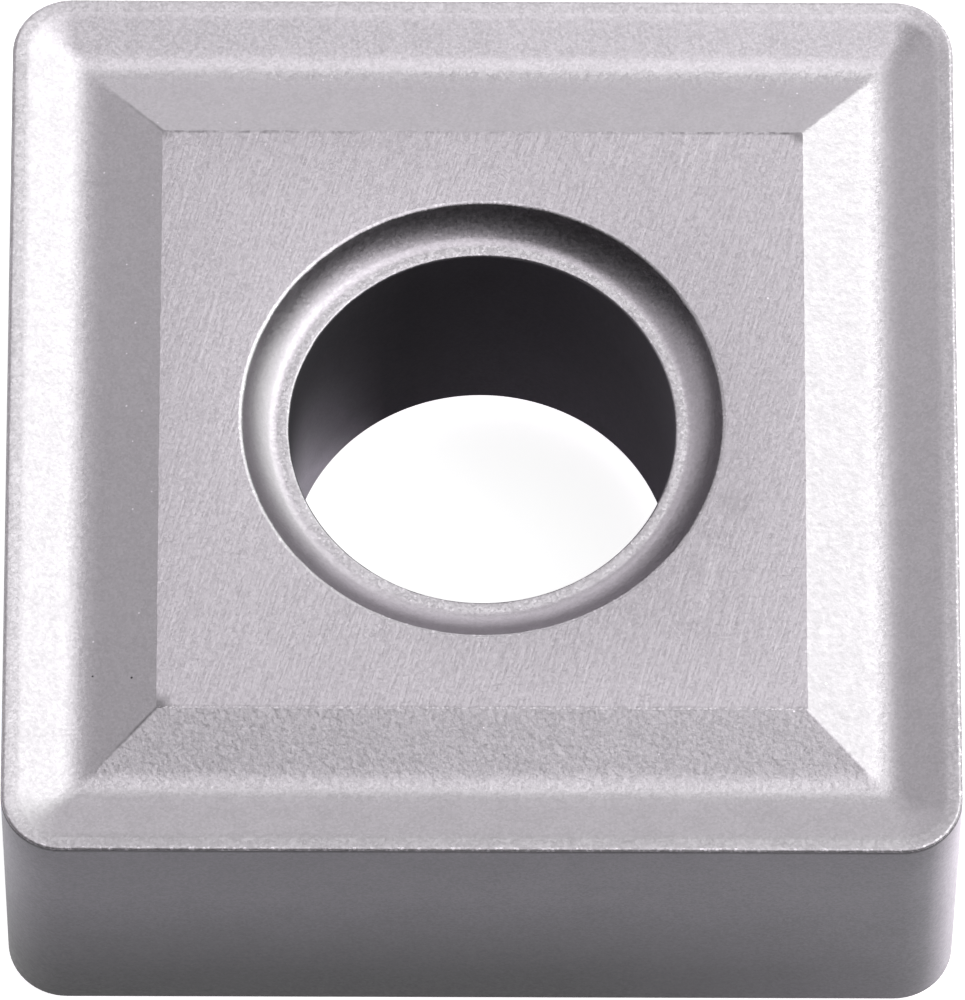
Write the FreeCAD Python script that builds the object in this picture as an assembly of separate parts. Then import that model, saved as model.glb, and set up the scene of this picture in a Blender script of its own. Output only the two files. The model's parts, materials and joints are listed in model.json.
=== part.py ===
import FreeCAD
import Part

import math
import os

from FreeCAD import Vector

# A square turning insert, pressed and sintered from cermet as one piece. Both faces carry the same
# chipbreaker: a honed cutting edge, a narrow land, a slope down into a groove, and a wall up to the
# ground island that the insert seats on. A clamping hole runs through the middle.
# The origin is on the axis of the hole, on the lower island. All sizes are in millimetres and degrees.

# Blank
inscribed_circle = 12.70
corner_radius = 0.80
# From one island to the cutting edge of the other face
thickness = 4.76
# How far an island stands above the cutting edge beside it
island_rise = 0.075

# Cutting edge and land
edge_hone_radius = 0.05
land_width = 0.19
land_angle = 6.0

# Chipbreaker groove, with its depth below the cutting edge
land_blend_radius = 0.60
slope_angle = 16.0
groove_radius = 0.85
groove_depth = 0.199
wall_angle = 16.4

# Clamping hole, with a cove cut into each island round it
bore_diameter = 5.16
ledge_width = 0.12
cove_width = 0.48
cove_depth = 0.325
cove_floor_radius = 0.28
cove_foot_angle = 25.0
edge_break = 0.04

# The cutters reach this far past the faces that they cut
overshoot = 1.0

half_width = inscribed_circle / 2
edge_height = thickness
total_height = edge_height + island_rise
corner_axis_offset = half_width - corner_radius
bore_radius = bore_diameter / 2
rim_radius = bore_radius + edge_break + ledge_width + cove_width


def sine(angle):
    return math.sin(math.radians(angle))


def cosine(angle):
    return math.cos(math.radians(angle))


def tangent(angle):
    return math.tan(math.radians(angle))


def line(start, end):
    return Part.makeLine(start, end)


def arc(centre, radius, start_angle, end_angle):
    """An arc in the plane of the section. Angles run from the outward direction towards +Z."""

    def on_arc(angle):
        return centre + Vector(radius * cosine(angle), 0, radius * sine(angle))

    middle_angle = (start_angle + end_angle) / 2
    return Part.Arc(on_arc(start_angle), on_arc(middle_angle), on_arc(end_angle)).toShape()


def first_point(edge):
    return edge.valueAt(edge.FirstParameter)


def last_point(edge):
    return edge.valueAt(edge.LastParameter)


def in_section(depth, height):
    """A point so far in from the side face and so far above the upper cutting edge."""
    return Vector(half_width - depth, 0, edge_height + height)


def chipbreaker_profile():
    """The upper face in section, from the side face in to the edge of the island."""
    hone_centre = in_section(edge_hone_radius, -edge_hone_radius)
    hone = arc(hone_centre, edge_hone_radius, 0, 90 + land_angle)

    land_start = last_point(hone)
    land_run = land_start.x - (half_width - land_width)
    land_end = land_start + Vector(-land_run, 0, -land_run * tangent(land_angle))
    land = line(land_start, land_end)

    blend_centre = land_end + Vector(sine(land_angle), 0, -cosine(land_angle)) * land_blend_radius
    blend = arc(blend_centre, land_blend_radius, 90 + land_angle, 90 + slope_angle)

    slope_start = last_point(blend)
    groove_floor = edge_height - groove_depth
    slope_foot = groove_floor + groove_radius * (1 - cosine(slope_angle))
    slope_run = (slope_start.z - slope_foot) / tangent(slope_angle)
    slope_end = Vector(slope_start.x - slope_run, 0, slope_foot)
    slope = line(slope_start, slope_end)

    groove_centre = Vector(slope_end.x - groove_radius * sine(slope_angle), 0, groove_floor + groove_radius)
    groove = arc(groove_centre, groove_radius, 270 + slope_angle, 270 - wall_angle)

    wall_start = last_point(groove)
    wall_run = (total_height - wall_start.z) / tangent(wall_angle)
    wall_end = Vector(wall_start.x - wall_run, 0, total_height)
    wall = line(wall_start, wall_end)
    return [hone, land, blend, slope, groove, wall]


def mirrored_below(edges):
    """The same edges on the lower face."""
    return [edge.mirror(Vector(0, 0, total_height / 2), Vector(0, 0, 1)) for edge in edges]


def closed_face(edges):
    return Part.Face(Part.Wire(Part.sortEdges(edges)[0]))


def body_section():
    """Half of the insert in section, from the side face in to the axis of the hole."""
    upper = chipbreaker_profile()
    lower = mirrored_below(upper)
    top_centre = Vector(0, 0, total_height)
    bottom_centre = Vector(0, 0, 0)
    island = line(last_point(upper[-1]), top_centre)
    axis = line(top_centre, bottom_centre)
    seat = line(bottom_centre, last_point(lower[-1]))
    side = line(first_point(lower[0]), first_point(upper[0]))
    return closed_face(upper + lower + [island, axis, seat, side])


def side_quarter(section):
    """The part of the insert behind one side: corner to corner at the side, mitred in to the middle."""
    length = 2 * corner_axis_offset
    bar = section.extrude(Vector(0, length, 0))
    bar.translate(Vector(0, -corner_axis_offset, 0))
    outside = half_width + overshoot
    plan = [
        Vector(0, 0, 0),
        Vector(corner_axis_offset, -corner_axis_offset, 0),
        Vector(outside, -corner_axis_offset, 0),
        Vector(outside, corner_axis_offset, 0),
        Vector(corner_axis_offset, corner_axis_offset, 0),
        Vector(0, 0, 0),
    ]
    sector = Part.Face(Part.makePolygon(plan)).extrude(Vector(0, 0, total_height))
    return bar.common(sector)


def corner_sector(section):
    """One rounded corner: the outer part of the section, turned round the axis of the corner."""
    strip = Part.makeBox(
        corner_radius + overshoot,
        2 * overshoot,
        total_height,
        Vector(corner_axis_offset, -overshoot, 0),
    )
    outer_section = section.common(strip).Faces[0]
    outer_section.translate(Vector(0, corner_axis_offset, 0))
    axis_point = Vector(corner_axis_offset, corner_axis_offset, 0)
    return outer_section.revolve(axis_point, Vector(0, 0, 1), 90)


def four_times(shape):
    """The shape and its three copies, turned round the axis of the hole."""
    copies = []
    for quarter in range(4):
        copy = shape.copy()
        copy.rotate(Vector(0, 0, 0), Vector(0, 0, 1), 90 * quarter)
        copies.append(copy)
    return copies


def blank():
    """The pressed body with both chipbreakers, before the hole."""
    section = body_section()
    pieces = four_times(side_quarter(section)) + four_times(corner_sector(section))
    return pieces[0].multiFuse(pieces[1:]).removeSplitter()


def rising_arc(start, start_slope, end):
    """An arc from start to end that leaves start at the given slope."""
    chord = end - start
    chord_slope = math.degrees(math.atan2(chord.z, chord.x))
    radius = chord.Length / (2 * sine(chord_slope - start_slope))
    centre = start + Vector(-sine(start_slope), 0, cosine(start_slope)) * radius
    end_slope = 2 * chord_slope - start_slope
    return arc(centre, radius, 270 + start_slope, 270 + end_slope)


def hole_mouth_profile():
    """The upper mouth of the hole in section: edge break, ledge, cove and the break at its rim."""
    ledge_height = total_height - cove_depth
    bore_end = Vector(bore_radius, 0, ledge_height - edge_break)
    ledge_start = Vector(bore_radius + edge_break, 0, ledge_height)
    ledge_end = ledge_start + Vector(ledge_width, 0, 0)
    floor_centre = ledge_end + Vector(0, 0, cove_floor_radius)
    cove_floor = arc(floor_centre, cove_floor_radius, 270, 270 + cove_foot_angle)
    rim_start = ledge_end + Vector(cove_width, 0, cove_depth - edge_break)
    rim_end = rim_start + Vector(edge_break, 0, edge_break)
    return [
        line(bore_end, ledge_start),
        line(ledge_start, ledge_end),
        cove_floor,
        rising_arc(last_point(cove_floor), cove_foot_angle, rim_start),
        line(rim_start, rim_end),
    ]


def hole_cutter():
    """The space of the clamping hole, past both faces."""
    upper = hole_mouth_profile()
    lower = mirrored_below(upper)
    outer_radius = rim_radius + edge_break
    above = total_height + overshoot
    below = -overshoot
    outline = upper + lower
    outline.append(line(first_point(upper[0]), first_point(lower[0])))
    outline.append(line(last_point(upper[-1]), Vector(outer_radius, 0, above)))
    outline.append(line(Vector(outer_radius, 0, above), Vector(0, 0, above)))
    outline.append(line(Vector(0, 0, above), Vector(0, 0, below)))
    outline.append(line(Vector(0, 0, below), Vector(outer_radius, 0, below)))
    outline.append(line(Vector(outer_radius, 0, below), last_point(lower[-1])))
    return closed_face(outline).revolve(Vector(0, 0, 0), Vector(0, 0, 1), 360)


def turning_insert():
    return blank().cut(hole_cutter()).Solids[0]


os.makedirs("parts", exist_ok=True)
insert = turning_insert()
insert.exportStep("parts/turning_insert.step")
print("turning_insert", insert.ShapeType, "valid", insert.isValid(), "volume", round(insert.Volume, 3), "mm3")
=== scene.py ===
import json
import math

import bmesh
import bpy
from mathutils import Matrix, Vector, noise


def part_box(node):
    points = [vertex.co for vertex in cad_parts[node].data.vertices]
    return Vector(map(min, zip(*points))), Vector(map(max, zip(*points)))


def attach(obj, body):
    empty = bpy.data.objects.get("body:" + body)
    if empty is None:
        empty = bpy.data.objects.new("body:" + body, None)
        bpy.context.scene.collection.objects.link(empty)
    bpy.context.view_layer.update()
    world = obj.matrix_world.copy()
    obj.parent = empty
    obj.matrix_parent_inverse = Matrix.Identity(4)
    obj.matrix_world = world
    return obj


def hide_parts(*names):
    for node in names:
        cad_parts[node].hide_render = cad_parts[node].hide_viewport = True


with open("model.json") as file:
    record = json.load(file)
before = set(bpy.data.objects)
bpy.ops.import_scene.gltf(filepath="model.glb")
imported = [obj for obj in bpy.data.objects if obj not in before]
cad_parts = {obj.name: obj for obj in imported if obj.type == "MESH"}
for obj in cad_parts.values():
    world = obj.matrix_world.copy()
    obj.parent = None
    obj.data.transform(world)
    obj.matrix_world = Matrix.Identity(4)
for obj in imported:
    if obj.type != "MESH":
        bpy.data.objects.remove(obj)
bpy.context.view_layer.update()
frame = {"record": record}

# A square turning insert of cermet, dressed with a finer mesh of the same form and with the finish of
# each surface: ground islands, blasted chipbreakers, as-sintered sides and hole.
# Sizes in this script are in millimetres and degrees until they reach the scene, which is in metres.

MM = 0.001
NODE = "turning_insert"

node_low, node_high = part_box(NODE)
mounts = {mount["name"]: mount for mount in frame["record"]["mounts"]}

half_width = (node_high[0] - node_low[0]) / 2 / MM
total_height = (node_high[2] - node_low[2]) / MM
bore_radius = mounts["bore"]["dims"]["r_mm"]

# Form of the faces
corner_radius = 0.80
island_rise = 0.075
edge_hone_radius = 0.05
hone_split_angle = 35.0
land_width = 0.19
land_angle = 6.0
land_blend_radius = 0.60
slope_angle = 16.0
groove_radius = 0.85
groove_depth = 0.199
wall_angle = 16.4

# Form of the hole's mouths
ledge_width = 0.12
cove_floor_radius = 0.28
cove_foot_angle = 27.0
cove_width = 0.48
cove_depth = 0.325
edge_break = 0.04
rim_round_width = 0.06
cove_rim_angle = 45.0

# The ridges between walls are sharp near the island and round off towards the slope
ridge_radius = 0.03
outer_ridge_radius = 0.14
ridge_soft_depth = 0.85
ridge_sharp_depth = 1.30
ridge_softness = 0.06

# The ground plane meets the walls and the mouth in slightly uneven lines
island_edge_wander = 0.012
rim_wander = 0.005
edge_waves_per_mm = 5.0

# Fineness of the mesh: columns round a quarter of the insert, and steps along each stretch of the section
side_columns = 96
corner_columns = 14
lower_hone_steps = 4
hone_steps = 6
land_steps = 2
blend_steps = 6
slope_steps = 6
groove_steps = 14
wall_steps = 8
rim_steps = 5
cove_wall_steps = 10
cove_floor_steps = 6
ledge_steps = 2
bore_edge_steps = 6
bore_steps = 6
side_steps = 6
# Points closer together than this become one, and edges that turn by more than this angle look sharp
merge_distance = 0.0001
crease_angle = 11.0

edge_height = total_height - island_rise
corner_axis_offset = half_width - corner_radius

# Camera, as the photograph was taken: the aim point is measured from the middle of the upper cutting
# edge, across and down in the picture
camera_yaw = -0.4687
camera_elevation = 63.7435
camera_roll = -0.606
camera_distance = 209.68
camera_shift_across = -0.0021
camera_shift_down = -1.0676
camera_focal_length = 565.4
camera_sensor = 36.0

# Plain white, the slight violet cast of the faces, islands and mouths, and the cooler ones of the sides and
# the hole
white = (1.0, 1.0, 1.0)
face_tint = (1.016, 0.955, 1.029)
island_tint = (1.021, 0.944, 1.035)
mouth_tint = island_tint
side_tint = (0.995, 0.918, 1.086)
bore_tint = (0.995, 0.925, 1.050)

# Grains of the cermet, the dark pores of its pressed surfaces, and the tones of pores and marks beside the
# tone round them. Specks are given as cells per millimetre, the share of cells with one, and its radius
grains_per_mm = 34.0
face_pores = (1.1, 0.05, 0.022)
pore_level = 0.25
mark_level = 0.1
# The inner part of a speck that is as strong as its middle, as a share of its radius
speck_core = 0.6
# How fine the uneven outline of a single spot is
spot_waves_per_mm = 9.0
# How far the roughness of a surface goes above and below its middle value
roughness_spread = 0.05

# Painted light on the chipbreaker: how much brighter the groove is painted, how wide, and the slow painted
# shade per millimetre of Y, which darkens the faces towards the front
groove_painted_highlight = 0.14
groove_painted_highlight_width = 0.30
painted_back_to_front_falloff = 0.010

# Painted light on the hole's wall: a factor that paints it darker up to one X on the left and paler from
# another on the right, and how much painted reflection is added low down on the left, where it is seen at a
# grazing angle
bore_left_tone = 0.62
bore_left_end = -1.0
bore_right_tone = 1.6
bore_right_start = 2.5
bore_pale = 8.5
bore_pale_full = -2.5
bore_pale_end = -1.3
bore_pale_height = 4.2
bore_palest = 5.0

# Pores in the wall at the left
wall_pores = [(-5.16, -3.73), (-4.64, -3.82)]
wall_pore_radius = 0.016
wall_pore_softness = 0.012

# The dark lines along the ridges at the ends of that wall, which break off here and there and fade out
# before the groove
ridge_line_width = 0.045
ridge_line_depth = 0.6
ridge_breaks_per_mm = 6.0
ridge_line_faintest = 0.3
ridge_line_reach = 5.0
ridge_line_fade = 0.4

# The sides carry a dark line under each cutting edge, and painted shade darkens them towards the foot, less
# so on the right
edge_line_width = 0.075
edge_line_softness = 0.02
edge_line_depth = 0.45
foot_shade_height = 3.3
foot_shade_right = 0.35
foot_shade_right_start = 1.0

# A painted sheen: how much paler the sides turn where they are seen at a grazing angle: the turn away from
# the eye where that starts and where it is full, as 1 less the cosine, and the factor on the tone
painted_sheen_start = 0.58
painted_sheen_full = 0.82
painted_sheen_gain = 1.75

# The share of the cutting edge's glints that is left along the back and the left edges, and how far from
# the corners between them it changes
glints_elsewhere = 0.2
glint_fade = 1.0

# Ground islands: the span of their tone and roughness, the lean of the grinding lines from +Y towards +X,
# how much longer than wide the lines are, and what the lines and the grain each give to the relief
island_darkest = 0.48
island_palest = 0.57
island_smoothest = 0.34
island_roughest = 0.46
grinding_lean = 16.0
line_stretch = 9.0
lines_per_mm = 23.0
line_share = 0.62
island_grain_per_mm = 16.0
island_grain_share = 0.58
island_relief = 0.0040
island_tilt = 0.065

# Single pale scratches, which lean a little less
scratch_lean = 12.0
scratch_stretch = 35.0
scratches_per_mm = 11.0
scratch_strength = 0.25
scratch_level = 0.75

# Pores and painted glints of the islands, as specks, and their tones
island_pores = (1.6, 0.08, 0.018)
island_pore_level = 0.16
island_glints = (5.0, 0.06, 0.016)
island_glint_level = 0.95

# Burrs along an island's front edge: a rough strip, and painted glints on them in a narrower strip
burr_width = 0.05
burrs_per_mm = 12.0
burr_height = 2.0
bright_burr_width = 0.03
bright_burrs = (22.0, 0.9, 0.022)
bright_burr_level = 0.74

# Dark residue in patches along an island's back edge, fainter in the middle of the edge
residue_per_mm = 6.0
residue_middle = 1.5
residue_end = 3.8
residue_in_middle = 0.3
residue_strength = 0.7
residue_level = 0.12

# Smudges of the same, with their place, radius, soft rim and depth of tone
smudges = [
    ((4.28, 4.28), 0.10, 0.14, 0.8),
    ((-4.28, -4.28), 0.12, 0.14, 1.0),
    ((-4.29, 4.29), 0.06, 0.10, 0.6),
    ((3.40, -1.30), 0.10, 0.25, 0.18),
]

# Studio: a floor just under the insert, which glows for whatever sees it directly, large lamps far off and
# one small card close by
floor_size = 900.0
floor_gap = 0.002
floor_tone = 0.90
floor_glow = 0.80
lamp_size = 300.0
lamp_distance = 300.0
card_size = 2.0
card_distance = 60.0
world_level = 0.0


def cosine(angle):
    return math.cos(math.radians(angle))


def sine(angle):
    return math.sin(math.radians(angle))


def tangent(angle):
    return math.tan(math.radians(angle))


def arc(centre, radius, start_angle, end_angle, steps):
    """Points on an arc in the section, its first one left out. Angles run from outwards towards up."""
    turn = (end_angle - start_angle) / steps
    angles = [start_angle + turn * (step + 1) for step in range(steps)]
    return [(centre[0] + radius * cosine(angle), centre[1] + radius * sine(angle)) for angle in angles]


def straight(start, end, steps):
    """Evenly spaced points on a line in the section, its first one left out."""
    parts = [(step + 1) / steps for step in range(steps)]
    return [(start[0] + (end[0] - start[0]) * part, start[1] + (end[1] - start[1]) * part) for part in parts]


def chipbreaker_bands():
    """The upper face in section, from the side face in to the island: (finish, points), band by band. A
    point is (reach, height), reach being the distance from the hole's axis."""
    hone_centre = (half_width - edge_hone_radius, edge_height - edge_hone_radius)
    hone_start = (half_width, hone_centre[1])
    lower_hone = [hone_start] + arc(hone_centre, edge_hone_radius, 0, hone_split_angle, lower_hone_steps)
    hone = arc(hone_centre, edge_hone_radius, hone_split_angle, 90 + land_angle, hone_steps)

    land_end_reach = half_width - land_width
    land_end = (land_end_reach, hone[-1][1] - (hone[-1][0] - land_end_reach) * tangent(land_angle))
    land = straight(hone[-1], land_end, land_steps)

    blend_centre = (
        land_end[0] + land_blend_radius * sine(land_angle),
        land_end[1] - land_blend_radius * cosine(land_angle),
    )
    blend = arc(blend_centre, land_blend_radius, 90 + land_angle, 90 + slope_angle, blend_steps)
    groove_floor = edge_height - groove_depth
    slope_foot = groove_floor + groove_radius * (1 - cosine(slope_angle))
    slope_end = (blend[-1][0] - (blend[-1][1] - slope_foot) / tangent(slope_angle), slope_foot)
    slope = blend + straight(blend[-1], slope_end, slope_steps)

    groove_centre = (slope_end[0] - groove_radius * sine(slope_angle), groove_floor + groove_radius)
    groove = arc(groove_centre, groove_radius, 270 + slope_angle, 270 - wall_angle, groove_steps)
    middle = groove_steps // 2

    wall_end_reach = groove[-1][0] - (total_height - groove[-1][1]) / tangent(wall_angle)
    wall = straight(groove[-1], (wall_end_reach, total_height), wall_steps)
    return [
        ("side", lower_hone),
        ("cutting_edge", hone),
        ("land", land),
        ("slope", slope + groove[:middle]),
        ("wall", groove[middle:] + wall),
    ]


def island_reach():
    """How far the upper island reaches from the hole's axis."""
    return flattened(chipbreaker_bands())[-1][1][0]


def groove_reach():
    """How far from the hole's axis the groove is deepest."""
    deepest = min(flattened(chipbreaker_bands()), key=lambda item: item[1][1])
    return deepest[1][0]


def mouth_bands():
    """The upper mouth in section, from the island down to the wall of the hole: (finish, points)."""
    ledge_height = total_height - cove_depth
    ledge_start = (bore_radius + edge_break, ledge_height)
    ledge_end = (ledge_start[0] + ledge_width, ledge_height)
    rim_outside = (ledge_end[0] + cove_width + edge_break, total_height)

    round_radius = rim_round_width / sine(cove_rim_angle)
    round_centre = (rim_outside[0], total_height - round_radius)
    rim_round = [rim_outside] + arc(round_centre, round_radius, 90, 90 + cove_rim_angle, rim_steps)

    floor_centre = (ledge_end[0], ledge_height + cove_floor_radius)
    floor = arc(floor_centre, cove_floor_radius, 270 + cove_foot_angle, 270, cove_floor_steps)
    foot = (
        floor_centre[0] + cove_floor_radius * sine(cove_foot_angle),
        floor_centre[1] - cove_floor_radius * cosine(cove_foot_angle),
    )
    wall_top = rim_round[-1]
    chord_angle = math.degrees(math.atan2(wall_top[1] - foot[1], wall_top[0] - foot[0]))
    half_turn = chord_angle - cove_foot_angle
    wall_radius = math.dist(wall_top, foot) / 2 / sine(half_turn)
    wall_centre = (
        foot[0] - wall_radius * sine(cove_foot_angle),
        foot[1] + wall_radius * cosine(cove_foot_angle),
    )
    wall_end_angle = 270 + cove_foot_angle
    wall_start_angle = wall_end_angle + 2 * half_turn
    wall = arc(wall_centre, wall_radius, wall_start_angle, wall_end_angle, cove_wall_steps)

    ledge = straight(ledge_end, ledge_start, ledge_steps)
    bore_edge = arc((ledge_start[0], ledge_height - edge_break), edge_break, 90, 180, bore_edge_steps)
    middle = bore_edge_steps // 2
    return [
        ("island", rim_round[:1]),
        ("rim", rim_round[1:]),
        ("mouth", wall + floor),
        ("ledge", ledge),
        ("rim", bore_edge[:middle]),
        ("bore", bore_edge[middle:]),
    ]


def side_position(column):
    """Where a column stands along its side, from -1 at one corner to 1 at the next."""
    return -1 + 2 * column / side_columns


def ring_corner_radius(depth):
    """The corner radius of a loop that lies so deep in from the side faces."""
    sharpness = (depth - ridge_soft_depth) / (ridge_sharp_depth - ridge_soft_depth)
    sharpness = min(max(sharpness, 0.0), 1.0)
    mitre_radius = outer_ridge_radius + (ridge_radius - outer_ridge_radius) * sharpness
    plain_radius = corner_radius - depth
    difference = math.hypot(plain_radius - mitre_radius, ridge_softness)
    return (plain_radius + mitre_radius + difference) / 2


def outline_ring(reach, height):
    """A loop round the insert at one reach, with its corners rounded."""
    radius = ring_corner_radius(half_width - reach)
    offset = reach - radius
    quarter = [Vector((reach, offset * side_position(column), height)) for column in range(side_columns)]
    for column in range(corner_columns):
        angle = 90 * column / corner_columns
        quarter.append(Vector((offset + radius * cosine(angle), offset + radius * sine(angle), height)))
    return four_quarters(quarter)


def circle_ring(radius, height):
    """A loop round the hole, with as many columns as an outline ring."""
    angles = [math.degrees(math.atan(side_position(column))) for column in range(side_columns)]
    angles += [45.0] * corner_columns
    quarter = [Vector((radius * cosine(angle), radius * sine(angle), height)) for angle in angles]
    return four_quarters(quarter)


def four_quarters(quarter):
    """The points of a quarter of a loop and of its three turned copies."""
    ring = []
    for turn in range(4):
        rotation = Matrix.Rotation(math.radians(90 * turn), 3, "Z")
        ring += [rotation @ point for point in quarter]
    return ring


def uneven(ring, wander):
    """The same loop, wandering a little in and out."""
    moved = []
    for point in ring:
        shift = wander * noise.noise(point * edge_waves_per_mm)
        outwards = Vector((point.x, point.y, 0)).normalized()
        moved.append(point + outwards * shift)
    return moved


def mouth_ring(finish, point):
    """A loop of the mouth, uneven where it belongs to a rim."""
    ring = circle_ring(*point)
    return uneven(ring, rim_wander) if finish == "rim" else ring


def flattened(bands):
    """(finish, point) for every point of the bands, in order."""
    return [(finish, point) for finish, points in bands for point in points]


def turned_over(points):
    """The same points on the lower face, each with the finish of the band that ends at it there. No band
    ends at the first one."""
    finishes = [finish for finish, _ in points]
    below = [(reach, total_height - height) for _, (reach, height) in points]
    return list(zip([None] + finishes[:0:-1], reversed(below)))


def insert_rings():
    """All loops of the closed surface in order, each with the finish of the band that ends at it."""
    face = flattened(chipbreaker_bands())
    mouth = flattened(mouth_bands())
    lower_face = turned_over(face)
    lower_mouth = turned_over(mouth)

    rings = [(outline_ring(*point), finish) for finish, point in face[:-1]]
    rings.append((uneven(outline_ring(*face[-1][1]), island_edge_wander), "wall"))
    rings.append((uneven(circle_ring(*mouth[0][1]), rim_wander), "island"))
    rings += [(mouth_ring(finish, point), finish) for finish, point in mouth[1:]]
    hole = straight(mouth[-1][1], lower_mouth[0][1], bore_steps)
    rings += [(circle_ring(*point), "bore") for point in hole]
    rings += [(mouth_ring(finish, point), finish) for finish, point in lower_mouth[1:-1]]
    rings.append((uneven(circle_ring(*lower_mouth[-1][1]), rim_wander), "rim"))
    rings.append((uneven(outline_ring(*lower_face[0][1]), island_edge_wander), "island"))
    rings += [(outline_ring(*point), finish) for finish, point in lower_face[1:]]
    sides = straight(lower_face[-1][1], face[0][1], side_steps)[:-1]
    rings += [(outline_ring(*point), "side") for point in sides]
    return rings


def insert_mesh(finishes):
    """The closed mesh, in metres. finishes lists the material names in the order of the slots."""
    rings = insert_rings()
    mesh = bmesh.new()
    loops = [[mesh.verts.new(point * MM) for point in ring] for ring, _ in rings]
    columns = len(loops[0])
    for index, (_, finish) in enumerate(rings):
        before = loops[index - 1]
        here = loops[index]
        for column in range(columns):
            after = (column + 1) % columns
            face = mesh.faces.new((before[column], before[after], here[after], here[column]))
            face.material_index = finishes.index(finish)
            face.smooth = True
    bmesh.ops.remove_doubles(mesh, verts=mesh.verts, dist=merge_distance * MM)
    bmesh.ops.recalc_face_normals(mesh, faces=mesh.faces)
    data = bpy.data.meshes.new("dressed_insert")
    mesh.to_mesh(data)
    mesh.free()
    data.set_sharp_from_angle(angle=math.radians(crease_angle))
    return data


class Graph:
    """A shorthand for building one material's nodes."""

    def __init__(self, name):
        self.material = bpy.data.materials.new(name)
        self.material.use_nodes = True
        self.tree = self.material.node_tree
        self.tree.nodes.clear()

    def node(self, kind, inputs=None, **settings):
        made = self.tree.nodes.new(kind)
        for setting, value in settings.items():
            setattr(made, setting, value)
        for socket, value in (inputs or {}).items():
            self.put(made.inputs[socket], value)
        return made

    def put(self, socket, value):
        if isinstance(value, bpy.types.NodeSocket):
            self.tree.links.new(value, socket)
        else:
            socket.default_value = value

    def math(self, operation, first, second=0.0, third=0.0):
        return self.node("ShaderNodeMath", {0: first, 1: second, 2: third}, operation=operation).outputs[0]

    def vector_math(self, operation, first, second=(0.0, 0.0, 0.0)):
        return self.node("ShaderNodeVectorMath", {0: first, 1: second}, operation=operation).outputs[0]

    def scaled(self, vector, factor):
        return self.node("ShaderNodeVectorMath", {0: vector, 3: factor}, operation="SCALE").outputs[0]

    def split(self, vector):
        return self.node("ShaderNodeSeparateXYZ", {0: vector}).outputs

    def position(self, stretch=1.0, lean=0.0):
        """The place on the insert in millimetres, drawn out along a line that leans from +Y towards +X."""
        place = self.node("ShaderNodeTexCoord").outputs["Object"]
        in_mm = self.scaled(place, 1 / MM)
        inputs = {"Vector": in_mm, "Rotation": (0, 0, -math.radians(lean)), "Scale": (1, stretch, 1)}
        return self.node("ShaderNodeMapping", inputs, vector_type="TEXTURE").outputs[0]

    def noise(self, place, scale, detail=2.0, roughness=0.5):
        inputs = {"Vector": place, "Scale": scale, "Detail": detail, "Roughness": roughness}
        return self.node("ShaderNodeTexNoise", inputs).outputs["Fac"]

    def range(self, value, low, high, to_low, to_high):
        inputs = {"Value": value, "From Min": low, "From Max": high, "To Min": to_low, "To Max": to_high}
        return self.node("ShaderNodeMapRange", inputs, clamp=True).outputs[0]

    def blend(self, factor, first, second):
        made = self.node("ShaderNodeMix", data_type="RGBA")
        self.put(made.inputs["Factor"], factor)
        self.put(made.inputs["A"], first)
        self.put(made.inputs["B"], second)
        return made.outputs["Result"]

    def finish(self, shader):
        self.node("ShaderNodeOutputMaterial", {"Surface": shader})
        return self.material


def grey(level, tint):
    return (level * tint[0], level * tint[1], level * tint[2], 1.0)


def specks(graph, place, per_mm, share, radius):
    """1 in sparse small round spots, 0 elsewhere. share is the part of the cells that hold one."""
    cells = graph.node("ShaderNodeTexVoronoi", {"Vector": place, "Scale": per_mm})
    chosen = graph.math("LESS_THAN", cells.outputs["Color"], share)
    outside = radius * per_mm
    spot = graph.range(cells.outputs["Distance"], outside * speck_core, outside, 1.0, 0.0)
    return graph.math("MULTIPLY", chosen, spot)


def grains(graph, place):
    """A random vector for each grain, between 0 and 1."""
    return graph.node("ShaderNodeTexVoronoi", {"Vector": place, "Scale": grains_per_mm}).outputs["Color"]


def tipped(graph, normal, random_vector, tilt):
    """The normal, tipped a little another way on each grain."""
    centred = graph.vector_math("SUBTRACT", random_vector, (0.5, 0.5, 0.5))
    added = graph.vector_math("ADD", normal, graph.scaled(centred, tilt))
    return graph.vector_math("NORMALIZE", added)


def near(graph, place, spot, radius, softness):
    """1 at a spot on the face, up to an uneven outline, and 0 past its soft rim."""
    centre = (spot[0], spot[1], 0.0)
    flat = graph.vector_math("MULTIPLY", place, (1.0, 1.0, 0.0))
    apart = graph.node("ShaderNodeVectorMath", {0: flat, 1: centre}, operation="DISTANCE")
    waves = graph.math("MULTIPLY", graph.noise(place, spot_waves_per_mm), radius)
    distance = graph.math("ADD", apart.outputs["Value"], waves)
    return graph.range(distance, radius, radius + softness, 1.0, 0.0)


def all_over(graph, place):
    return 1.0


def nowhere(graph, place):
    return 0.0


def front_and_right(graph, place):
    """1 along the front and the right edges, and much less along the other two."""
    parts = graph.split(place)
    across = graph.math("SUBTRACT", parts["X"], parts["Y"])
    return graph.range(across, -glint_fade, glint_fade, glints_elsewhere, 1.0)


def painted_chipbreaker_light(graph, place):
    """A factor on the tone that paints light: a painted highlight brightens the groove, and painted shade
    darkens the faces slowly towards the front.
    """
    parts = graph.split(place)
    reach = graph.math("MAXIMUM", graph.math("ABSOLUTE", parts["X"]), graph.math("ABSOLUTE", parts["Y"]))
    off_groove = graph.math("ABSOLUTE", graph.math("SUBTRACT", reach, groove_reach()))
    groove = graph.range(off_groove, 0.0, groove_painted_highlight_width, 1 + groove_painted_highlight, 1.0)
    return graph.math("ADD", groove, graph.math("MULTIPLY", parts["Y"], painted_back_to_front_falloff))


def grazing(graph):
    """0 where a surface is seen squarely, and 1 where it is seen at a grazing angle: the mask of the painted
    sheen and reflection.
    """
    turned_away = graph.node("ShaderNodeLayerWeight", {"Blend": 0.5}).outputs["Facing"]
    return graph.range(turned_away, painted_sheen_start, painted_sheen_full, 0.0, 1.0)


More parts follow.
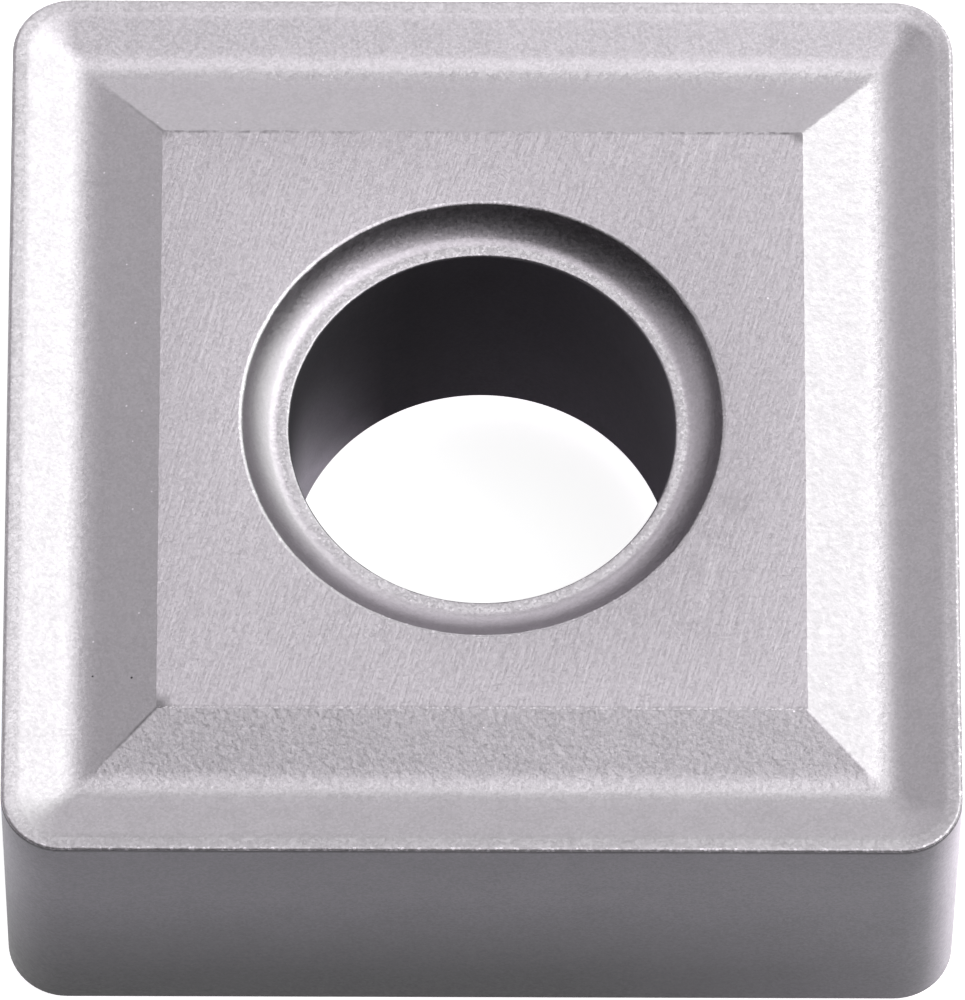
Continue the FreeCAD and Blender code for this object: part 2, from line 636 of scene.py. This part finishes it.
def painted_bore_light(graph, place):
    """A factor on the tone that paints light: painted shade darkens the hole's wall to the left, painted
    light makes it paler to the right, and a painted reflection makes it paler low down on the left.
    """
    parts = graph.split(place)
    across = graph.range(parts["X"], bore_left_end, bore_right_start, bore_left_tone, bore_right_tone)
    # Painted reflection: paler low down on the left, where the wall is seen at a grazing angle
    on_left = graph.range(parts["X"], bore_pale_full, bore_pale_end, 1.0, 0.0)
    left = graph.math("MULTIPLY", on_left, grazing(graph))
    low = graph.range(parts["Z"], 0.0, bore_pale_height, 1.0, 0.0)
    pale = graph.math("MULTIPLY", left, graph.math("MULTIPLY", low, low))
    return graph.math("MINIMUM", graph.math("MULTIPLY_ADD", pale, bore_pale, across), bore_palest)


def painted_side_sheen(graph, place):
    """A factor on the tone: a painted sheen turns the sides paler where they are seen at a grazing angle."""
    return graph.math("MULTIPLY_ADD", grazing(graph), painted_sheen_gain - 1, 1.0)


def wall_marks(graph, place):
    """Pores in the left wall, and thin dark lines where it meets its neighbours."""
    parts = graph.split(place)
    across = graph.math("ABSOLUTE", parts["X"])
    along = graph.math("ABSOLUTE", parts["Y"])
    off_ridge = graph.math("ABSOLUTE", graph.math("SUBTRACT", across, along))
    line = graph.range(off_ridge, 0.0, ridge_line_width, ridge_line_depth, 0.0)
    broken = graph.range(graph.noise(place, ridge_breaks_per_mm), 0.3, 0.6, ridge_line_faintest, 1.0)
    inside = graph.range(across, ridge_line_reach - ridge_line_fade, ridge_line_reach, 1.0, 0.0)
    at_left = graph.math("LESS_THAN", parts["X"], 0.0)
    where = graph.math("MULTIPLY", at_left, inside)
    marks = graph.math("MULTIPLY", graph.math("MULTIPLY", line, broken), where)
    for spot in wall_pores:
        pore = near(graph, place, spot, wall_pore_radius, wall_pore_softness)
        marks = graph.math("MAXIMUM", marks, pore)
    return marks


def edge_line_and_painted_foot_shade(graph, place):
    """A dark line under each cutting edge, and painted shade that slowly darkens the sides towards the foot.
    """
    parts = graph.split(place)
    height = parts["Z"]
    off_middle = graph.math("ABSOLUTE", graph.math("SUBTRACT", height, total_height / 2))
    line_start = total_height / 2 - island_rise - edge_line_width
    line = graph.range(off_middle, line_start, line_start + edge_line_softness, 0.0, edge_line_depth)
    # Painted shade: darker towards the foot, less so on the right
    foot = graph.range(height, 0.0, foot_shade_height, 1.0, 0.0)
    strength = graph.range(parts["X"], foot_shade_right_start, corner_axis_offset, 1.0, foot_shade_right)
    return graph.math("MAXIMUM", line, graph.math("MULTIPLY", foot, strength))


def cermet(
    name, base, roughness, relief, tilt, mottling, relief_per_mm=16.0, clouds_per_mm=2.5, tint=face_tint,
    tone=all_over, marks=nowhere, glints=None, glint_level=0.95, glints_where=all_over, metallic=1.0,
    specular=0.5
):
    """Pressed and sintered cermet: grains, a fine relief, faint clouds of tone, dark pores and painted
    glints.
    base is its tone and mottling the spread of it, relief is in millimetres, and tilt is how far single
    grains lean. tone, marks and glints_where say how strong each is at a place; tone and marks can also
    carry painted light and shade."""
    graph = Graph(name)
    place = graph.position()
    relief_noise = graph.noise(place, relief_per_mm, 3.0, 0.65)
    clouds = graph.noise(place, clouds_per_mm, 3.0)
    grain = grains(graph, place)
    grain_tone = graph.split(grain)["X"]
    mixed = graph.math("ADD", graph.math("MULTIPLY", grain_tone, 0.5), graph.math("MULTIPLY", clouds, 0.5))
    shade = graph.range(mixed, 0.2, 0.8, 0.0, 1.0)
    colour = graph.blend(shade, grey(base * (1 - mottling), tint), grey(base * (1 + mottling), tint))
    colour = graph.scaled(colour, tone(graph, place))
    colour = graph.blend(specks(graph, place, *face_pores), colour, grey(base * pore_level, tint))
    colour = graph.blend(marks(graph, place), colour, grey(base * mark_level, tint))
    # Glints are painted highlights: single grains shown pale in the colour
    if glints:
        where = glints_where(graph, place)
        shining = graph.math("MULTIPLY", specks(graph, place, *glints), where)
        colour = graph.blend(shining, colour, grey(glint_level, tint))
    bump = graph.node("ShaderNodeBump", {"Height": relief_noise, "Distance": relief * MM, "Strength": 1.0})
    normal = tipped(graph, bump.outputs[0], grain, tilt)
    shader = graph.node("ShaderNodeBsdfPrincipled", {"Base Color": colour, "Normal": normal})
    smoothest = roughness - roughness_spread
    roughest = roughness + roughness_spread
    rough = graph.range(relief_noise, 0.3, 0.7, smoothest, roughest)
    graph.put(shader.inputs["Roughness"], rough)
    shader.inputs["Metallic"].default_value = metallic
    shader.inputs["Specular IOR Level"].default_value = specular
    return graph.finish(shader.outputs[0])


def cutting_edge_finish():
    """The honed edge, where single grains have painted glints."""
    return cermet(
        "cutting_edge", base=0.58, roughness=0.48, relief=0.002, tilt=0.10, mottling=0.12,
        glints=(17.0, 0.7, 0.027), glint_level=0.92, glints_where=front_and_right
    )


def land_finish():
    """The narrow land behind the edge, with a coarse relief."""
    return cermet(
        "land", base=0.56, roughness=0.40, relief=0.0046, tilt=0.038, mottling=0.10, relief_per_mm=9.0,
        glints=(9.0, 0.12, 0.016)
    )


def slope_finish():
    """The slope down into the groove, smooth for a pressed surface."""
    return cermet(
        "slope", base=0.56, roughness=0.40, relief=0.0022, tilt=0.025, mottling=0.085,
        glints=(9.0, 0.02, 0.015), tone=painted_chipbreaker_light
    )


def wall_finish():
    """The wall from the groove up to the island, rougher than the slope."""
    return cermet(
        "wall", base=0.54, roughness=0.40, relief=0.0061, tilt=0.05, mottling=0.06, relief_per_mm=11.0,
        glints=(9.0, 0.15, 0.017), tone=painted_chipbreaker_light, marks=wall_marks
    )


def rim_finish():
    """The breaks round the mouth of the hole."""
    return cermet(
        "rim", base=0.58, roughness=0.36, relief=0.002, tilt=0.05, mottling=0.10,
        glints=(17.0, 0.4, 0.026), glint_level=0.80
    )


def mouth_finish():
    """The cove of the mouth, smooth and even."""
    return cermet(
        "mouth", base=0.57, roughness=0.39, relief=0.0016, tilt=0.045, mottling=0.07, tint=mouth_tint
    )


def ledge_finish():
    """The narrow flat inside the cove, coarser than the cove."""
    return cermet(
        "ledge", base=0.58, roughness=0.40, relief=0.0040, tilt=0.08, mottling=0.10,
        glints=(14.0, 0.4, 0.022), glint_level=0.75
    )


def bore_finish():
    """The wall of the hole, dark as it came from the furnace and darkened further with painted shade."""
    return cermet(
        "bore", base=0.17, roughness=0.50, relief=0.0010, tilt=0.03, mottling=0.06, tint=bore_tint,
        tone=painted_bore_light, metallic=0.0, specular=0.0
    )


def side_finish():
    """The sides, dark as they came from the furnace and darkened further with painted shade."""
    return cermet(
        "side", base=0.203, roughness=0.42, relief=0.0010, tilt=0.03, mottling=0.14, clouds_per_mm=1.2,
        tint=side_tint, tone=painted_side_sheen, marks=edge_line_and_painted_foot_shade, metallic=0.2, specular=0.3
    )


def rough_burrs(graph, place):
    """The height of the burrs along the front edge of an island."""
    edge = island_reach()
    by_front = graph.range(graph.split(place)["Y"], -edge, burr_width - edge, 1.0, 0.0)
    uneven_burrs = graph.math("MULTIPLY", by_front, graph.noise(place, burrs_per_mm))
    return graph.math("MULTIPLY", uneven_burrs, burr_height)


def shining_burrs(graph, place):
    """1 where a burr has a painted glint, right at the front edge of an island."""
    at_front = graph.math("LESS_THAN", graph.split(place)["Y"], bright_burr_width - island_reach())
    return graph.math("MULTIPLY", at_front, specks(graph, place, *bright_burrs))


def residue(graph, place):
    """How dark the residue is: patches along the back edge of an island, and single smudges."""
    parts = graph.split(place)
    edge = island_reach()
    by_back = graph.range(parts["Y"], edge - burr_width, edge - burr_width / 2, 0.0, 1.0)
    patches = graph.range(graph.noise(place, residue_per_mm, 3.0, 0.7), 0.40, 0.62, 0.0, 1.0)
    across = graph.math("ABSOLUTE", parts["X"])
    towards_end = graph.range(across, residue_middle, residue_end, residue_in_middle, 1.0)
    depth_here = graph.math("MULTIPLY", graph.math("MULTIPLY", by_back, patches), towards_end)
    for spot, radius, softness, depth in smudges:
        smudge = graph.math("MULTIPLY", near(graph, place, spot, radius, softness), depth)
        depth_here = graph.math("MAXIMUM", depth_here, smudge)
    return graph.math("MULTIPLY", depth_here, residue_strength)


def island_finish():
    """The ground flat: fine grinding lines over the grain, with burrs and residue left by the wheel."""
    graph = Graph("island")
    place = graph.position()
    lines = graph.noise(graph.position(line_stretch, grinding_lean), lines_per_mm, 3.0, 0.6)
    scratch_noise = graph.noise(graph.position(scratch_stretch, scratch_lean), scratches_per_mm, 1.0)
    scratches = graph.range(scratch_noise, 0.66, 0.74, 0.0, 1.0)
    grain = graph.noise(place, island_grain_per_mm, 3.0, 0.65)
    line_part = graph.math("MULTIPLY", lines, line_share)
    relief = graph.math("ADD", line_part, graph.math("MULTIPLY", grain, island_grain_share))

    shade = graph.range(relief, 0.40, 0.80, 0.0, 1.0)
    colour = graph.blend(shade, grey(island_darkest, island_tint), grey(island_palest, island_tint))
    marks = [
        (graph.math("MULTIPLY", scratches, scratch_strength), scratch_level),
        (specks(graph, place, *island_pores), island_pore_level),
        (specks(graph, place, *island_glints), island_glint_level),
        (residue(graph, place), residue_level),
        (shining_burrs(graph, place), bright_burr_level),
    ]
    for strength, level in marks:
        colour = graph.blend(strength, colour, grey(level, face_tint))

    surface = graph.math("ADD", relief, rough_burrs(graph, place))
    bump = graph.node("ShaderNodeBump", {"Height": surface, "Distance": island_relief * MM, "Strength": 1.0})
    normal = tipped(graph, bump.outputs[0], grains(graph, place), island_tilt)
    shader = graph.node("ShaderNodeBsdfPrincipled", {"Base Color": colour, "Normal": normal})
    rough = graph.range(relief, 0.35, 0.85, island_smoothest, island_roughest)
    graph.put(shader.inputs["Roughness"], rough)
    shader.inputs["Metallic"].default_value = 1.0
    return graph.finish(shader.outputs[0])


def add_insert():
    finishes = {
        "cutting_edge": cutting_edge_finish,
        "land": land_finish,
        "slope": slope_finish,
        "wall": wall_finish,
        "island": island_finish,
        "rim": rim_finish,
        "mouth": mouth_finish,
        "ledge": ledge_finish,
        "bore": bore_finish,
        "side": side_finish,
    }
    data = insert_mesh(list(finishes))
    for make_finish in finishes.values():
        data.materials.append(make_finish())
    piece = bpy.data.objects.new("dressed_insert", data)
    bpy.context.scene.collection.objects.link(piece)
    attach(piece, "root")
    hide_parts(NODE)


def seen_directly(graph):
    """1 for what the camera, a reflection or a transparent surface shows, 0 for soft light."""
    path = graph.node("ShaderNodeLightPath").outputs
    seen = graph.math("MAXIMUM", path["Is Camera Ray"], path["Is Glossy Ray"])
    return graph.math("MAXIMUM", seen, path["Is Transmission Ray"])


def floor_finish():
    """A pale floor that shows white, with the insert's soft shadow."""
    graph = Graph("floor")
    paper = graph.node("ShaderNodeBsdfDiffuse", {"Color": grey(floor_tone, white)})
    strength = graph.math("MULTIPLY", seen_directly(graph), floor_glow)
    glow = graph.node("ShaderNodeEmission", {"Strength": strength})
    both = graph.node("ShaderNodeAddShader", {0: paper.outputs[0], 1: glow.outputs[0]})
    return graph.finish(both.outputs[0])


def add_floor():
    data = bpy.data.meshes.new("floor")
    half = floor_size / 2 * MM
    corners = [(-half, -half, 0), (half, -half, 0), (half, half, 0), (-half, half, 0)]
    data.from_pydata(corners, [], [(0, 1, 2, 3)])
    data.materials.append(floor_finish())
    floor = bpy.data.objects.new("floor", data)
    floor.location.z = node_low[2] - floor_gap * MM
    bpy.context.scene.collection.objects.link(floor)


def add_world():
    world = bpy.data.worlds.new("studio")
    world.use_nodes = True
    nodes = world.node_tree.nodes
    nodes["Background"].inputs["Strength"].default_value = world_level
    bpy.context.scene.world = world


def add_lamp(
    name, azimuth, elevation, level, tint=white, size=lamp_size, distance=lamp_distance, mirrored=True
):
    """A square soft box aimed at the foot of the insert. Azimuth 0 is on the right and 90 is behind. At
    level 1 it lights a white surface that faces it to white. A lamp that is not mirrored lights matt
    surfaces and leaves no highlight."""
    lamp = bpy.data.lights.new(name, "AREA")
    lamp.shape = "SQUARE"
    lamp.size = size * MM
    lamp.color = tint
    lamp.energy = level * (math.pi * distance * MM) ** 2
    outwards = cosine(elevation)
    towards = Vector((outwards * cosine(azimuth), outwards * sine(azimuth), sine(elevation)))
    holder = bpy.data.objects.new(name, lamp)
    holder.location = towards * distance * MM
    holder.rotation_euler = towards.to_track_quat("Z", "Y").to_euler()
    holder.visible_glossy = mirrored
    bpy.context.scene.collection.objects.link(holder)


def add_lamps():
    add_lamp("low_back_box", azimuth=90, elevation=20, level=0.29)
    add_lamp("back_right_box", azimuth=32, elevation=44, level=0.43, tint=(0.975, 1.035, 0.965))
    add_lamp("back_left_box", azimuth=150, elevation=45, level=0.20)
    add_lamp("top_right_box", azimuth=6, elevation=70, level=0.47)
    # This one lies so low that only the sides and their edges see it
    add_lamp(
        "side_card", azimuth=20, elevation=1.5, level=1.9, tint=(1.04, 0.99, 0.96), size=card_size,
        distance=card_distance, mirrored=False
    )


def add_camera():
    """The photograph's camera, solved from the insert's outline, islands and hole."""
    forward = Vector(
        (
            -sine(camera_yaw) * cosine(camera_elevation),
            cosine(camera_yaw) * cosine(camera_elevation),
            -sine(camera_elevation),
        )
    )
    level_right = Vector((cosine(camera_yaw), sine(camera_yaw), 0))
    level_down = forward.cross(level_right)
    right = cosine(camera_roll) * level_right + sine(camera_roll) * level_down
    down = cosine(camera_roll) * level_down - sine(camera_roll) * level_right
    edge_centre = Vector((0, 0, edge_height))
    place = edge_centre - right * camera_shift_across - down * camera_shift_down - forward * camera_distance
    data = bpy.data.cameras.new("camera")
    data.lens = camera_focal_length
    data.sensor_width = camera_sensor
    data.clip_start = 0.01
    data.clip_end = 10.0
    camera = bpy.data.objects.new("camera", data)
    turn = Matrix((right, -down, -forward)).transposed().to_4x4()
    camera.matrix_world = Matrix.Translation(place * MM) @ turn
    bpy.context.scene.collection.objects.link(camera)
    bpy.context.scene.camera = camera


bpy.context.scene.view_settings.view_transform = "Standard"
add_camera()
add_insert()
add_floor()
add_world()
add_lamps()
